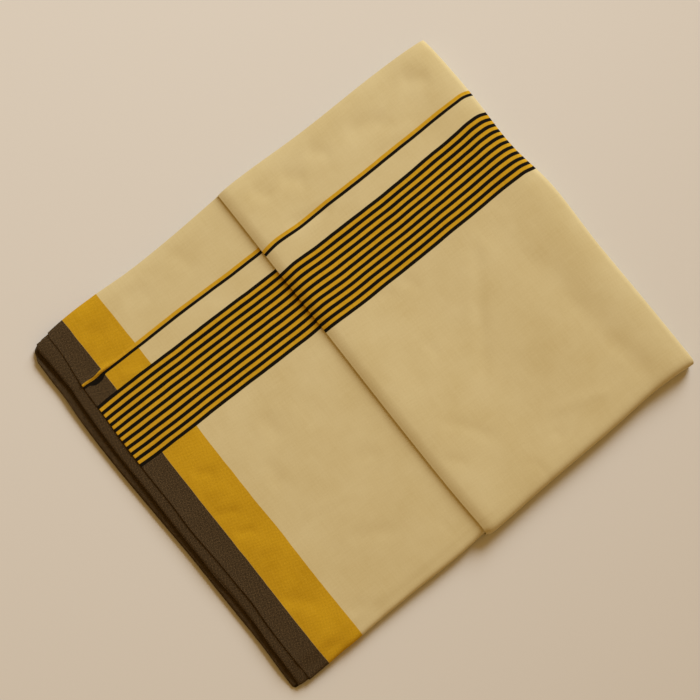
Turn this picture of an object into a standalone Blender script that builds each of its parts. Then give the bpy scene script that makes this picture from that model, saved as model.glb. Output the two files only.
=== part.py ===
"""A handloom cotton saree, folded flat and laid down.

The cloth is 1.17 m wide and 5.5 m long. It is halved across its width, so both selvedges lie
together. The doubled edge is folded back over as a flap, and the long strip is then halved four
times. That leaves sixteen panels on each other, with the outermost panel running over the top,
round the front and back underneath.

Frame: +X runs across the cloth from the selvedges to the folded edge, +Y runs along it towards the
loose end on top, +Z is up, and the origin is under the middle. Sizes are in millimetres until a mesh
is made, which is in metres.
"""

import math

import bpy
import numpy as np

MM = 0.001

# The cloth
SHEET = 1.2  # a folded pair of cloth layers, with the air between them
SEAM = 0.3  # air between two solids that lie on each other
COVER = SHEET + SEAM

# The stack
LEFT_HEIGHT = 10.6  # sixteen panels of two cloth layers each
FLAP_HEIGHT = 17.0  # sixteen panels of four cloth layers each
RAMP_LEAD = 9.0  # the stack starts to rise this far before the flap's edge
RAMP_LENGTH = 16.0
BEND_REACH = 1.5  # the front bend is this much longer than it is high
BLUNT = 0.6  # 1 would make the front bend an ellipse, and less makes it squarer
SELVEDGE_FALL, SELVEDGE_FALL_START, SELVEDGE_FALL_LENGTH = 1.3, -146.0, 34.0
BACK_FALL, BACK_FALL_LENGTH = 1.2, 36.0
FRONT_FALL, FRONT_FALL_LENGTH = 0.9, 45.0
RIGHT_FALL, RIGHT_FALL_LENGTH = 4.6, 28.0
LENGTHWISE = (-157.0, 164.0)  # where the panels lie flat, between the front bend and the back edge

# The flap
FLAP_UNDERLAP = 25.0  # how far the top panel is made under the flap
UNDER_STEP, UNDER_STEP_LENGTH = 4.5, 3.5  # the underside rises here to clear the flap below it
FLAP_LEFT_START, FLAP_LEFT_LENGTH = -21.0, 12.0  # the front edge passes under the flap's
FLAP_CORNER, FLAP_CORNER_LENGTH = 1.6, 5.0

# The selvedge bundles beside and below the top panel
BUNDLE_DEPTH = 37.0  # how far they go in under the top panel
BUNDLE_FRONT_CORNER = 2.5
UPPER_BACK_CORNER, LOWER_BACK_CORNER = 5.0, 8.0
BUNDLE_BACK_GAP = 1.6
BUNDLE_LIP, BUNDLE_LIP_LENGTH = 2.4, 2.0  # the lowest layers drop to the ground outside the bottom panel

# The hidden layers
CORE_BACK_GAP = 3.2
CORE_RIGHT_GAP = 3.4
UNDER_RIGHT_GAP = 1.5  # the flap's lower half ends this far short of its upper half
CORE_LIFT = (1.0, 5.0)  # past the underlap, between these distances, they take up its height


def table(columns, *rows):
    """A short table as one array for each named column."""
    return {name: np.array(values, float) for name, values in zip(columns.split(), zip(*rows))}


# The outline, seen from above. Each table gives one edge, with a row where it changes direction.
RIGHT_EDGE = table(
    "y x",
    *((-158, 200.8), (-120, 200.6), (-50, 199.5), (26, 199.1), (37, 197.4)),
    *((46, 196.1), (110, 195.8), (150, 194.3), (171, 192.5)),
)
BACK_EDGE = table(
    "x y",
    *((-184, 162.3), (-172, 163.5), (-136, 164.3), (-104, 163.3), (-56, 165.1)),
    *((-16, 168.0), (10, 169.1), (64, 168.8), (168, 171.3), (196, 170.3)),
)
LEFT_FRONT_EDGE = table(
    "x y",
    *((-196, -173.5), (-180, -173.3), (-161, -172.4), (-147, -171.5), (-116, -169.5)),
    *((-76, -168.1), (-30, -166.7), (-12, -165.4), (10, -165.0)),
)
FLAP_FRONT_EDGE = table(
    "x y",
    *((-12, -168.1), (4, -167.6), (52, -164.9), (116, -161.7)),
    *((172, -158.3), (188, -158.7), (201, -160.0)),
)
FLAP_EDGE = table("y x", (-166, -7.8), (-134, -9.4), (-70, -10.6), (34, -10.9), (166, -11.7))
TOP_SELVEDGE = table(
    "y x",
    *((-172, -180.2), (-147, -180.5), (-99, -181.6), (-48, -182.3), (-12, -184.5)),
    *((5, -183.1), (90, -182.2), (123, -183.0), (145, -180.4), (162, -179.5)),
)
BOTTOM_SELVEDGE = table("y x", (-168, -181.0), (164, -188.0))
UPPER_BUNDLE_EDGE = table(
    "y x",
    *((-172, -189.5), (-124, -189.7), (-99, -191.4), (-32, -193.4)),
    *((3, -194.4), (92, -194.2), (119, -192.0), (140, -192.9), (157, -194.4)),
)
LOWER_BUNDLE_EDGE = table(
    "y x",
    *((-172, -193.3), (-136, -193.6), (-92, -195.9), (-36, -196.7), (12, -198.2)),
    *((60, -200.8), (107, -201.0), (137, -200.2), (160, -200.4)),
)

# The folded edges of the layers inside, from the top down. end: where each fold ends, as a share of
# the height. out: how far it stands out. groove: how far the cloth stands out in the groove under it.
RIGHT_FOLDS = table(
    "end out groove",
    *((0.17, 1.5, 0.0), (0.34, 0.9, 0.2), (0.50, 1.3, 0.0)),
    *((0.66, 0.7, 0.3), (0.83, 1.4, 0.1), (1.0, 0.8, 0.0)),
)
# At the back lie one loose end and folds of two, four and eight panels. The last fold takes three rows.
BACK_FOLDS = table(
    "end out groove",
    *((0.07, 1.9, 0.2), (0.20, 1.3, 0.0), (0.47, 1.9, 0.2)),
    *((0.62, 1.7, 1.9), (0.85, 2.2, 1.8), (1.0, 1.5, 0.0)),
)
SELVEDGE_FOLDS = table("end out groove", (0.36, 1.0, 0.2), (0.68, 1.3, 0.3), (1.0, 1.0, 0.0))
BUNDLE_BACK_FOLDS = table("end out groove", (0.36, 0.9, 0.2), (0.68, 1.2, 0.3), (1.0, 0.9, 0.0))
FOLD_LEVELS = (0.15, 0.5, 0.85)
FOLD_ROUNDING = (0.72, 1.0, 0.72)
OUTWARD = {"front": (0, -1, 0), "right": (1, 0, 0), "back": (0, 1, 0), "left": (-1, 0, 0)}

# Rows of points along the cloth, as shares of the length between the front bend and the back edge
ROWS = (0.0, 0.03, 0.08, 0.14, 0.22, 0.32, 0.43, 0.54, 0.65, 0.76, 0.85, 0.91, 0.95, 0.98, 1.0)
UNDER_ROWS = (0.0, 0.08, 0.3, 0.6, 0.86, 0.97)
BEND_STEPS = 10

# Columns of points across the cloth, as distances from the edge that they follow
INSIDE_SELVEDGE = (4, 10, 18, 30, 50, 85, 125)
AT_STEP = (-22, -13, -9, -6.5, -4.5, -2.8, -1, 1.5, 4, 6.5, 9, 14, 19)
ON_FLAP = (30, 60, 95, 130)
NEAR_RIGHT = (-45, -32, -24, -16, -9)
IN_BUNDLE = (2.5, 5, 7.5)
BUNDLE_LIP_COLUMNS = (-2.4, -1.4, -0.4)


def smooth(t):
    t = np.clip(t, 0.0, 1.0)
    return t * t * (3 - 2 * t)


def follow(edge, at):
    """The edge's place there, on a smooth curve through the rows of its table."""
    place, value = edge.values()
    slope = np.gradient(value, place)
    at = np.clip(at, place[0], place[-1])
    row = np.clip(np.searchsorted(place, at) - 1, 0, len(place) - 2)
    gap = place[row + 1] - place[row]
    t = (at - place[row]) / gap
    start = (1 + 2 * t) * (1 - t) ** 2 * value[row] + t * (1 - t) ** 2 * gap * slope[row]
    end = t * t * (3 - 2 * t) * value[row + 1] + t * t * (t - 1) * gap * slope[row + 1]
    return start + end


def corner(distance, radius):
    """How far a rounded corner draws an edge back, that far along it from the corner."""
    beside = radius - np.clip(distance, radius * (1 - math.sqrt(0.5)), radius)
    return radius - np.sqrt(radius**2 - beside**2)


def blunt(value):
    """A sine or cosine on the squarer curve of the front bend."""
    return np.sign(value) * np.abs(value) ** BLUNT


def stack_top(x, y):
    """The height of the panels that lie under the flap, or of the top panel where there is no flap."""
    ramp = smooth((x - follow(FLAP_EDGE, y) + RAMP_LEAD) / RAMP_LENGTH)
    past_right = np.clip((x - follow(RIGHT_EDGE, y) + RIGHT_FALL_LENGTH) / RIGHT_FALL_LENGTH, 0, 1.1)
    return (
        LEFT_HEIGHT
        + (FLAP_HEIGHT - COVER - LEFT_HEIGHT) * ramp
        - SELVEDGE_FALL * smooth((SELVEDGE_FALL_START - x) / SELVEDGE_FALL_LENGTH)
        - BACK_FALL * smooth((y - follow(BACK_EDGE, x) + BACK_FALL_LENGTH) / BACK_FALL_LENGTH)
        - FRONT_FALL * smooth((LENGTHWISE[0] + FRONT_FALL_LENGTH - y) / FRONT_FALL_LENGTH)
        - RIGHT_FALL * past_right**2
    )


def stack_bottom(x, y):
    """The height of the same panels' underside: on the ground, or on the flap's lower half."""
    return COVER * smooth((x - follow(FLAP_EDGE, y) + UNDER_STEP) / UNDER_STEP_LENGTH)


def flap_top(x, y):
    return stack_top(x, y) + COVER


def ground(x, y):
    return 0.0 * x


def flap_front(x):
    from_edge = x - follow(FLAP_EDGE, LENGTHWISE[0])
    rounding = FLAP_CORNER * (1 - smooth(from_edge / FLAP_CORNER_LENGTH))
    return follow(FLAP_FRONT_EDGE, x) + rounding


def stack_front(x):
    under_flap = smooth((x - FLAP_LEFT_START) / FLAP_LEFT_LENGTH)
    return (1 - under_flap) * follow(LEFT_FRONT_EDGE, x) + under_flap * (flap_front(x) + COVER)


def back(x):
    return follow(BACK_EDGE, x)


def bend(x, top, bottom, front):
    """The middle of the front bend in y and z, and how long and how high it is."""
    high = (top(x, LENGTHWISE[0]) - bottom(x, LENGTHWISE[0])) / 2
    long = high + BEND_REACH
    return front(x) + long, bottom(x, LENGTHWISE[0]) + high, long, high


def rows_of(share):
    return LENGTHWISE[0] + np.asarray(share) * (LENGTHWISE[1] - LENGTHWISE[0])


def columns_at(columns, y):
    """The x of each column where it crosses y. A column is an edge's table and a distance from it."""
    return np.array([follow(edge, y) + distance for edge, distance in columns])


def wrapped(columns, under_columns, top, bottom, front, inset):
    """The points of a stretch of cloth that runs over the top, round the front and underneath."""
    rows = []
    for share in reversed(ROWS):
        x = columns_at(columns, rows_of(share))
        start = bend(x, top, bottom, front)[0]
        y = start + share * (back(x) - start)
        rows.append((x, y, top(x, y) - inset))
    x = columns_at(columns, LENGTHWISE[0])
    middle_y, middle_z, long, high = bend(x, top, bottom, front)
    rows.pop()
    for angle in np.linspace(math.pi / 2, -math.pi / 2, BEND_STEPS + 1):
        y = middle_y - (long - inset) * blunt(math.cos(angle))
        rows.append((x, y, middle_z + (high - inset) * blunt(math.sin(angle))))
    rows.pop()
    for share in UNDER_ROWS:
        x = columns_at(under_columns, rows_of(share))
        start = bend(x, top, bottom, front)[0]
        y = start + share * (back(x) - start)
        rows.append((x, y, bottom(x, y) + inset))
    return np.array(rows).transpose(2, 0, 1)


def laid(columns, height, front, back_edge):
    """The points of a flat stretch at a given height."""
    grid = []
    for share in ROWS:
        x = columns_at(columns, rows_of(share))
        y = front(x) + share * (back_edge(x) - front(x))
        grid.append((x, y, height(x, y)))
    return np.array(grid).transpose(2, 0, 1)


def around(across, along):
    """The places of a grid's border points in order, and the side that each belongs to."""
    front = [(i, 0, "front") for i in range(across - 1)]
    right = [(across - 1, j, "right") for j in range(along - 1)]
    rear = [(i, along - 1, "back") for i in range(across - 1, 0, -1)]
    left = [(0, j, "left") for j in range(along - 1, 0, -1)]
    return front + right + rear + left


def border(grid):
    return np.array([grid[i, j] for i, j, _ in around(*grid.shape[:2])])


def closed_solid(name, upper, lower, rings, material):
    """One closed body from two grids of points and the rings that join their borders."""
    across, along = upper.shape[:2]
    places = around(across, along)
    points = np.concatenate([upper.reshape(-1, 3), lower.reshape(-1, 3), *rings])
    first_ring = 2 * across * along
    upper_border = [i * along + j for i, j, _ in places]
    lower_border = [across * along + k for k in upper_border]
    loops = [upper_border]
    for k in range(len(rings)):
        loops.append([first_ring + k * len(places) + n for n in range(len(places))])
    loops.append(lower_border)
    faces = []
    for i in range(across - 1):
        for j in range(along - 1):
            a, b = i * along + j, (i + 1) * along + j
            faces.append((a, b, b + 1, a + 1))
            shift = across * along
            faces.append((a + shift + 1, b + shift + 1, b + shift, a + shift))
    for above, below in zip(loops, loops[1:]):
        for n in range(len(places)):
            m = (n + 1) % len(places)
            faces.append((above[n], below[n], below[m], above[m]))
    mesh = bpy.data.meshes.new(name)
    mesh.from_pydata([tuple(p) for p in points * MM], [], faces)
    mesh.shade_smooth()
    mesh.set_sharp_from_angle(angle=math.radians(60))
    mesh.materials.append(material)
    body = bpy.data.objects.new(name, mesh)
    bpy.context.scene.collection.objects.link(body)
    return body


def wall(name, columns, under_columns, top, bottom, front, material):
    """A wall of cloth over the top, round the front and underneath, with rounded edges."""
    shape = (columns, under_columns, top, bottom, front)
    # the border is walked with the rows in the order from underneath to the top
    outer, middle, inner = (wrapped(*shape, inset)[:, ::-1] for inset in (0.0, SHEET / 2, SHEET))
    outward = np.zeros_like(middle)
    outward[0] += middle[0] - middle[1]
    outward[-1] += middle[-1] - middle[-2]
    outward[:, 0] += middle[:, 0] - middle[:, 1]
    outward[:, -1] += middle[:, -1] - middle[:, -2]
    rim = border(outward)
    rim *= (SHEET / 2) / np.linalg.norm(rim, axis=1, keepdims=True)
    return closed_solid(name, outer, inner, [border(middle) + rim], material)


def fold_profile(folds):
    """For a side with folded edges on each other: each ring's share of the height, and how far out."""
    profile, start = [], 0.0
    for end, out, groove in zip(folds["end"], folds["out"], folds["groove"]):
        for level, rounding in zip(FOLD_LEVELS, FOLD_ROUNDING):
            profile.append((start + (end - start) * level, out * rounding))
        profile.append((end, groove))
        start = end
    return np.array(profile[:-1])


def bend_profile(count, part):
    """The same for the front bend or its upper or lower half. How far out is a share of its length."""
    halves = {"whole": (0, math.pi), "upper": (0, math.pi / 2), "lower": (math.pi / 2, math.pi)}
    angle = np.linspace(*halves[part], count + 2)
    down, out = blunt(np.cos(angle)), blunt(np.sin(angle))
    share = (down[0] - down) / (down[0] - down[-1])
    straight = out[0] + share * (out[-1] - out[0])
    return np.column_stack([share, out - straight])[1:-1]


def plain_profile(count):
    return np.column_stack([np.arange(1, count + 1) / (count + 1), np.zeros(count)])


def bundle(name, upper, lower, bend_length, profiles, material):
    """A solid of layers on each other between two surfaces, with its own profile on each side."""
    places = around(*upper.shape[:2])
    above, below = border(upper), border(lower)
    rings = []
    for level in range(len(profiles["back"])):
        ring = np.zeros_like(above)
        for n, (_, _, side) in enumerate(places):
            # a corner belongs to two sides
            sides = {side, places[n - 1][2]}
            share = np.mean([profiles[s][level][0] for s in sides])
            ring[n] = above[n] + share * (below[n] - above[n])
            for s in sides:
                out = profiles[s][level][1] * (bend_length(above[n, 0]) if s == "front" else 1)
                ring[n] += np.array(OUTWARD[s]) * out / math.sqrt(len(sides))
        rings.append(ring)
    return closed_solid(name, upper, lower, rings, material)


def cloth(name, colour, roughness):
    material = bpy.data.materials.new(name)
    material.use_nodes = True
    shader = material.node_tree.nodes["Principled BSDF"]
    shader.inputs["Base Color"].default_value = (*colour, 1.0)
    shader.inputs["Roughness"].default_value = roughness
    shader.inputs["Metallic"].default_value = 0.0
    return material


def beside(edge, distances):
    """One column for each distance from an edge."""
    return [(edge, distance) for distance in distances]


def top_panel(material):
    """The outermost panel: from the loose end on top, round the front and back underneath."""
    inside = (SHEET / 2, *INSIDE_SELVEDGE)
    near_flap = beside(FLAP_EDGE, (*AT_STEP, FLAP_UNDERLAP - SHEET / 2))
    over = beside(TOP_SELVEDGE, inside) + near_flap
    under = beside(BOTTOM_SELVEDGE, inside) + near_flap
    return wall("top_panel", over, under, stack_top, stack_bottom, stack_front, material)


def folded_flap(material):
    """The doubled edge folded back over, with its bend along the left, round the front and underneath."""
    rising = [distance for distance in AT_STEP if distance > 0]
    near_step = beside(FLAP_EDGE, (SHEET / 2, *rising, *ON_FLAP))
    right = (*NEAR_RIGHT, -4, -SHEET / 2)
    over = near_step + beside(RIGHT_EDGE, right)
    under = near_step + beside(RIGHT_EDGE, [distance - UNDER_RIGHT_GAP for distance in right])
    return wall("folded_flap", over, under, flap_top, ground, flap_front, material)


def covered(x, y):
    """1 where the top panel's wall lies round the hidden layers, and 0 past its end under the flap."""
    past = x - follow(FLAP_EDGE, y) - FLAP_UNDERLAP
    return 1 - smooth((past - CORE_LIFT[0]) / (CORE_LIFT[1] - CORE_LIFT[0]))


def core_top(x, y):
    return stack_top(x, y) - COVER * covered(x, y)


def core_bottom(x, y):
    return stack_bottom(x, y) + COVER * covered(x, y)


def hidden_layers(material):
    """All the panels inside, as one solid with its folds on each other at the right and the back."""
    lift = [FLAP_UNDERLAP + distance for distance in (*CORE_LIFT, sum(CORE_LIFT) / 2)]
    columns = beside(TOP_SELVEDGE, (BUNDLE_DEPTH + SEAM, 60, 95, 130))
    columns += beside(FLAP_EDGE, (*AT_STEP, *sorted(lift), *ON_FLAP[1:]))
    columns += beside(RIGHT_EDGE, (*NEAR_RIGHT, -CORE_RIGHT_GAP))
    rings = len(RIGHT_FOLDS["end"]) * (len(FOLD_LEVELS) + 1) - 1

    def front(x):
        return bend(x, stack_top, stack_bottom, stack_front)[0]

    def rear(x):
        return back(x) - CORE_BACK_GAP

    def bend_length(x):
        return (core_top(x, LENGTHWISE[0]) - core_bottom(x, LENGTHWISE[0])) / 2 + BEND_REACH

    profiles = {
        "front": bend_profile(rings, "whole"),
        "right": fold_profile(RIGHT_FOLDS),
        "back": fold_profile(BACK_FOLDS),
        "left": plain_profile(rings),
    }
    upper, lower = laid(columns, core_top, front, rear), laid(columns, core_bottom, front, rear)
    return bundle("hidden_layers", upper, lower, bend_length, profiles, material)


def selvedge_bundle(name, edge, half, back_corner, material):
    """The selvedges of the panels' upper or lower half, which stick out past the top panel's own."""
    columns = beside(edge, (1, *IN_BUNDLE))
    if half == "lower":
        columns += beside(BOTTOM_SELVEDGE, BUNDLE_LIP_COLUMNS)
    columns += beside(TOP_SELVEDGE, (*INSIDE_SELVEDGE[:4], BUNDLE_DEPTH))
    rings = len(SELVEDGE_FOLDS["end"]) * (len(FOLD_LEVELS) + 1) - 1

    def bend_length(x):
        return bend(x, stack_top, stack_bottom, stack_front)[2] - COVER

    def straight(x):
        start = bend(x, stack_top, stack_bottom, stack_front)[0]
        return start + corner(x - follow(edge, LENGTHWISE[0]), BUNDLE_FRONT_CORNER)

    def bent(x):
        return straight(x) - bend_length(x)

    def rear(x):
        return back(x) - BUNDLE_BACK_GAP - corner(x - follow(edge, LENGTHWISE[1]), back_corner)

    def roof(x, y):
        return stack_top(x, y) - COVER

    def above_gap(x, y):
        return (stack_top(x, y) + stack_bottom(x, y) + SEAM) / 2

    def below_gap(x, y):
        return above_gap(x, y) - SEAM

    def floor(x, y):
        return COVER * smooth((x - follow(BOTTOM_SELVEDGE, y) + BUNDLE_LIP) / BUNDLE_LIP_LENGTH)

    if half == "upper":
        upper, lower = laid(columns, roof, straight, rear), laid(columns, above_gap, bent, rear)
    else:
        upper, lower = laid(columns, below_gap, bent, rear), laid(columns, floor, straight, rear)
    profiles = {
        "front": bend_profile(rings, half),
        "right": plain_profile(rings),
        "back": fold_profile(BUNDLE_BACK_FOLDS),
        "left": fold_profile(SELVEDGE_FOLDS),
    }
    return bundle(name, upper, lower, bend_length, profiles, material)


def main():
    for old in list(bpy.data.objects):
        bpy.data.objects.remove(old)
    cream = cloth("cream_cotton", (0.56, 0.42, 0.2), 0.9)
    inner_cream = cloth("inner_cream_cotton", (0.5, 0.37, 0.17), 0.92)
    grey = cloth("grey_border_cotton", (0.06, 0.045, 0.025), 0.92)
    top_panel(cream)
    folded_flap(cream)
    hidden_layers(inner_cream)
    selvedge_bundle("upper_selvedges", UPPER_BUNDLE_EDGE, "upper", UPPER_BACK_CORNER, grey)
    selvedge_bundle("lower_selvedges", LOWER_BUNDLE_EDGE, "lower", LOWER_BACK_CORNER, grey)


main()
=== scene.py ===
"""A handloom cotton saree, folded flat and laid on a pale floor: its cloth, borders and light.

The cloth is 1.17 m wide and 5.5 m long. It is halved across its width, its doubled edge is folded back over
as a flap, and the strip is halved four times along its length. Sixteen panels lie on each other. They are
counted from 0, the one on top, to 15, the one on the floor, and each is two layers of cloth, or four where
the flap lies.

Sizes are in millimetres until a mesh is made. +X runs across the cloth from the selvedges to the folded
edge, +Y along it towards the loose end on top, and +Z is up.
"""

import math

import bpy
import numpy as np
from mathutils import Matrix


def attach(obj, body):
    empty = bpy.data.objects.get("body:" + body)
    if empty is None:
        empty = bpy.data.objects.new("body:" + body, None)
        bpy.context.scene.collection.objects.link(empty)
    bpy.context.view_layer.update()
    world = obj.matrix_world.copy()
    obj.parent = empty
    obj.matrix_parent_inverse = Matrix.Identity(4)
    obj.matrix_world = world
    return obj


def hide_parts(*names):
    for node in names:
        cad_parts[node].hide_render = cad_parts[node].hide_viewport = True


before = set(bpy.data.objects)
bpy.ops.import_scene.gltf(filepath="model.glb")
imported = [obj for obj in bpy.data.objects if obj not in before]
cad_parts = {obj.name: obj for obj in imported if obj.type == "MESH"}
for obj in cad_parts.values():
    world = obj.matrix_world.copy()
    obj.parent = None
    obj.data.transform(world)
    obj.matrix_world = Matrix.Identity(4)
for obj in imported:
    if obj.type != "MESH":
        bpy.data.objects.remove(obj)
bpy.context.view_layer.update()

MM = 0.001
TINY = 1e-9  # keeps a length of 0 from being divided by

# The cloth
PANELS = 16
TOP, MIDDLE, LOWEST = 0, 8, 15  # the panel on top, the first one of the lower half, and the one on the floor
PANEL_SHEET = 0.62  # two layers of cloth, the selvedges side by side
FLAP_SHEET = 1.1  # two layers of cloth and the soft bend between them
FLAP_COVER = 1.3  # how far the flap's face lies above the panel under it
FLAP_PRESSED = 0.1  # and this much lower, as it has been pressed
AIR = 0.06  # between two panels

# The stack
LEFT_HEIGHT = 10.6
FLAP_HEIGHT = 15.2  # the panels under the flap, without the flap itself
# It rises to the flap gently at first, then more and more steeply up to its edge, and less so under it.
GENTLE_LENGTH = 110.0
EDGE_RISE, EDGE_LENGTH = 2.0, 3.7
UNDER_RISE, UNDER_RISE_LENGTH = 1.3, 3.8
THIN_EDGE = 0.55  # the flap is pressed this much thinner at its left edge
LIP, LIP_WIDTH = 0.16, 0.9
BEND_REACH = 1.5
BLUNT = 0.6  # 1 would make the front bends ellipses, and less makes them squarer
BACK_BEND = 1.15  # the bends at the back reach this many times half their height
BACK_ROOM = 0.3  # for half of the cloth's own thickness
SELVEDGE_FALL, SELVEDGE_FALL_START, SELVEDGE_FALL_LENGTH = 1.3, -146.0, 34.0
BACK_FALL, BACK_FALL_LENGTH = 1.4, 11.0
FRONT_FALL, FRONT_FALL_START, FRONT_FALL_LENGTH = 0.9, -154.0, 11.5
CORNER_FALL, CORNER_FALL_START, CORNER_FALL_LENGTH = 1.3, -136.0, 40.0  # more so at the selvedges
RIGHT_SWELL, RIGHT_SWELL_START, RIGHT_SWELL_LENGTH = 0.8, 45.0, 27.0  # a low ridge along the right edge
RIGHT_FALL, RIGHT_FALL_LENGTH = 1.6, 17.0
RIGHT_ROUNDING, RIGHT_ROUNDING_LENGTH = 1.2, 3.5
PAST_EDGE = 1.1  # these falls start their own length inside the edge, and end a tenth of it past the edge
CREST, CREST_RISE, CREST_FALL = 0.6, 9.0, 30.0  # the flap is thickest just inside its left edge
FRONT, BACK = -157.0, 164.0  # a panel's length before it follows the front and the back edge
FLAP_UNDERLAP = 25.0
UNDER_FLAP = 0.2  # how far inside the flap's bend at the front the panels' own bends end
UNDER_STEP, UNDER_STEP_LENGTH = 4.5, 3.5
BOTTOM_STEP, BOTTOM_STEP_LENGTH = 2.6, 2.2  # the inside panels lie lower left of the bottom panel
FLAP_LEFT_START, FLAP_LEFT_LENGTH = -21.0, 12.0
FLAP_CORNER, FLAP_CORNER_LENGTH = 1.6, 5.0
INNER_LIFT_START, INNER_LIFT_LENGTH = 27.0, 8.0  # past the underlap the inside panels take up its height


def table(columns, *rows):
    """A short table as one array for each named column."""
    return {name: np.array(values, float) for name, values in zip(columns.split(), zip(*rows))}


# The outline, seen from above
RIGHT_EDGE = table(
    "y x",
    (-158, 200.8), (-120, 200.6), (-50, 199.5), (26, 199.1), (37, 197.4),
    (46, 196.1), (110, 195.8), (150, 194.3), (171, 192.5),
)
BACK_EDGE = table(
    "x y",
    (-184, 162.3), (-172, 163.5), (-136, 164.3), (-104, 163.3), (-56, 165.1),
    (-16, 168.0), (10, 169.1), (64, 168.8), (168, 171.3), (196, 170.3),
)
LEFT_FRONT_EDGE = table(
    "x y",
    (-196, -173.5), (-180, -173.3), (-161, -172.4), (-147, -171.5), (-116, -169.5),
    (-76, -168.1), (-30, -166.7), (-12, -165.4), (10, -165.0),
)
FLAP_FRONT_EDGE = table(
    "x y",
    (-12, -168.1), (4, -167.6), (52, -164.9), (116, -161.7),
    (172, -158.3), (188, -158.7), (201, -160.0),
)
FLAP_EDGE = table("y x", (-166, -7.8), (-134, -9.4), (-70, -10.6), (34, -10.9), (166, -11.7))
TOP_SELVEDGE = table(
    "y x",
    (-173, -180.1), (-153, -180.5), (-139, -181.1), (-110, -181.3), (-92, -180.5), (-74, -181.3),
    (-54, -182.2), (-40, -183.1), (-24, -184.2), (3, -184.2), (31, -185.0), (61, -185.2),
    (91, -184.4), (113, -184.2), (128, -183.1), (136, -182.2), (147, -181.6), (162, -182.0),
)
BOTTOM_SELVEDGE = table("y x", (-168, -181.0), (164, -188.0))
UPPER_BUNDLE_EDGE = table(
    "y x",
    (-172, -189.0), (-153, -189.4), (-139, -188.9), (-124, -189.2), (-110, -188.3), (-92, -188.7),
    (-74, -189.5), (-60, -190.7), (-40, -191.2), (-11, -192.3), (17, -192.6), (31, -193.0),
    (61, -193.9), (97, -193.3), (112, -192.7), (120, -191.9), (128, -192.6), (147, -193.5), (157, -194.4),
)
LOWER_BUNDLE_EDGE = table(
    "y x",
    (-172, -193.5), (-164, -194.0), (-146, -194.3), (-124, -193.9), (-110, -194.1), (-92, -194.7),
    (-60, -195.7), (-36, -196.3), (12, -198.7), (60, -200.8), (107, -200.8), (121, -200.0),
    (137, -200.3), (160, -200.2),
)

# The woven pattern, where it lies on the folded cloth
GREY_EDGE = table(
    "y x",
    (-167, -161.7), (-135, -162.8), (-103, -163.3), (-63, -163.9),
    (-31, -164.8), (18, -165.6), (105, -164.5), (163, -165.7),
)
BAND_ON_PANEL = table(
    "x first last thin",
    (-185, 35.6, 91.2, 110.2), (-178, 35.4, 91.6, 110.2), (-150, 35.2, 92.2, 110.4),
    (-90, 36.4, 92.6, 111.6), (-30, 36.6, 93.2, 111.6), (-10, 37.2, 93.2, 111.9),
)
BAND_ON_FLAP = table(
    "x first last thin",
    (-12, 31.9, 87.6, 107.4), (-6, 31.9, 87.9, 108.2), (0, 31.9, 88.4, 108.9), (25, 31.6, 88.2, 108.6),
    (50, 32.6, 88.6, 109.6), (80, 33.2, 89.2, 110.2), (110, 34.6, 90.2, 111.4),
    (140, 35.6, 92.2, 112.4), (165, 36.9, 93.6, 113.6), (180, 37.2, 94.9, 113.6),
    (190, 36.9, 94.2, 113.2), (196, 35.9, 92.0, 111.5),
)
GREY_WIDTH = 17.0  # from the selvedge to the gold
GOLD_WIDTH = 33.0
LINE_PITCH = 5.64  # from one black line of the band to the next
LINES = 11
BLACK_WIDTH = 2.9
THIN_LINE = 76.0  # from the band's first line to the single thin one
THIN_BLACK_WIDTH = 2.5
THIN_GOLD_WIDTH = 2.8
# The thin line's black widens this far over the grey: its black threads, and painted shadow of the gold tail
BLACK_SPREAD_WITH_PAINTED_SHADOW = 2.4
TAIL_BOW = 0.7

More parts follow.
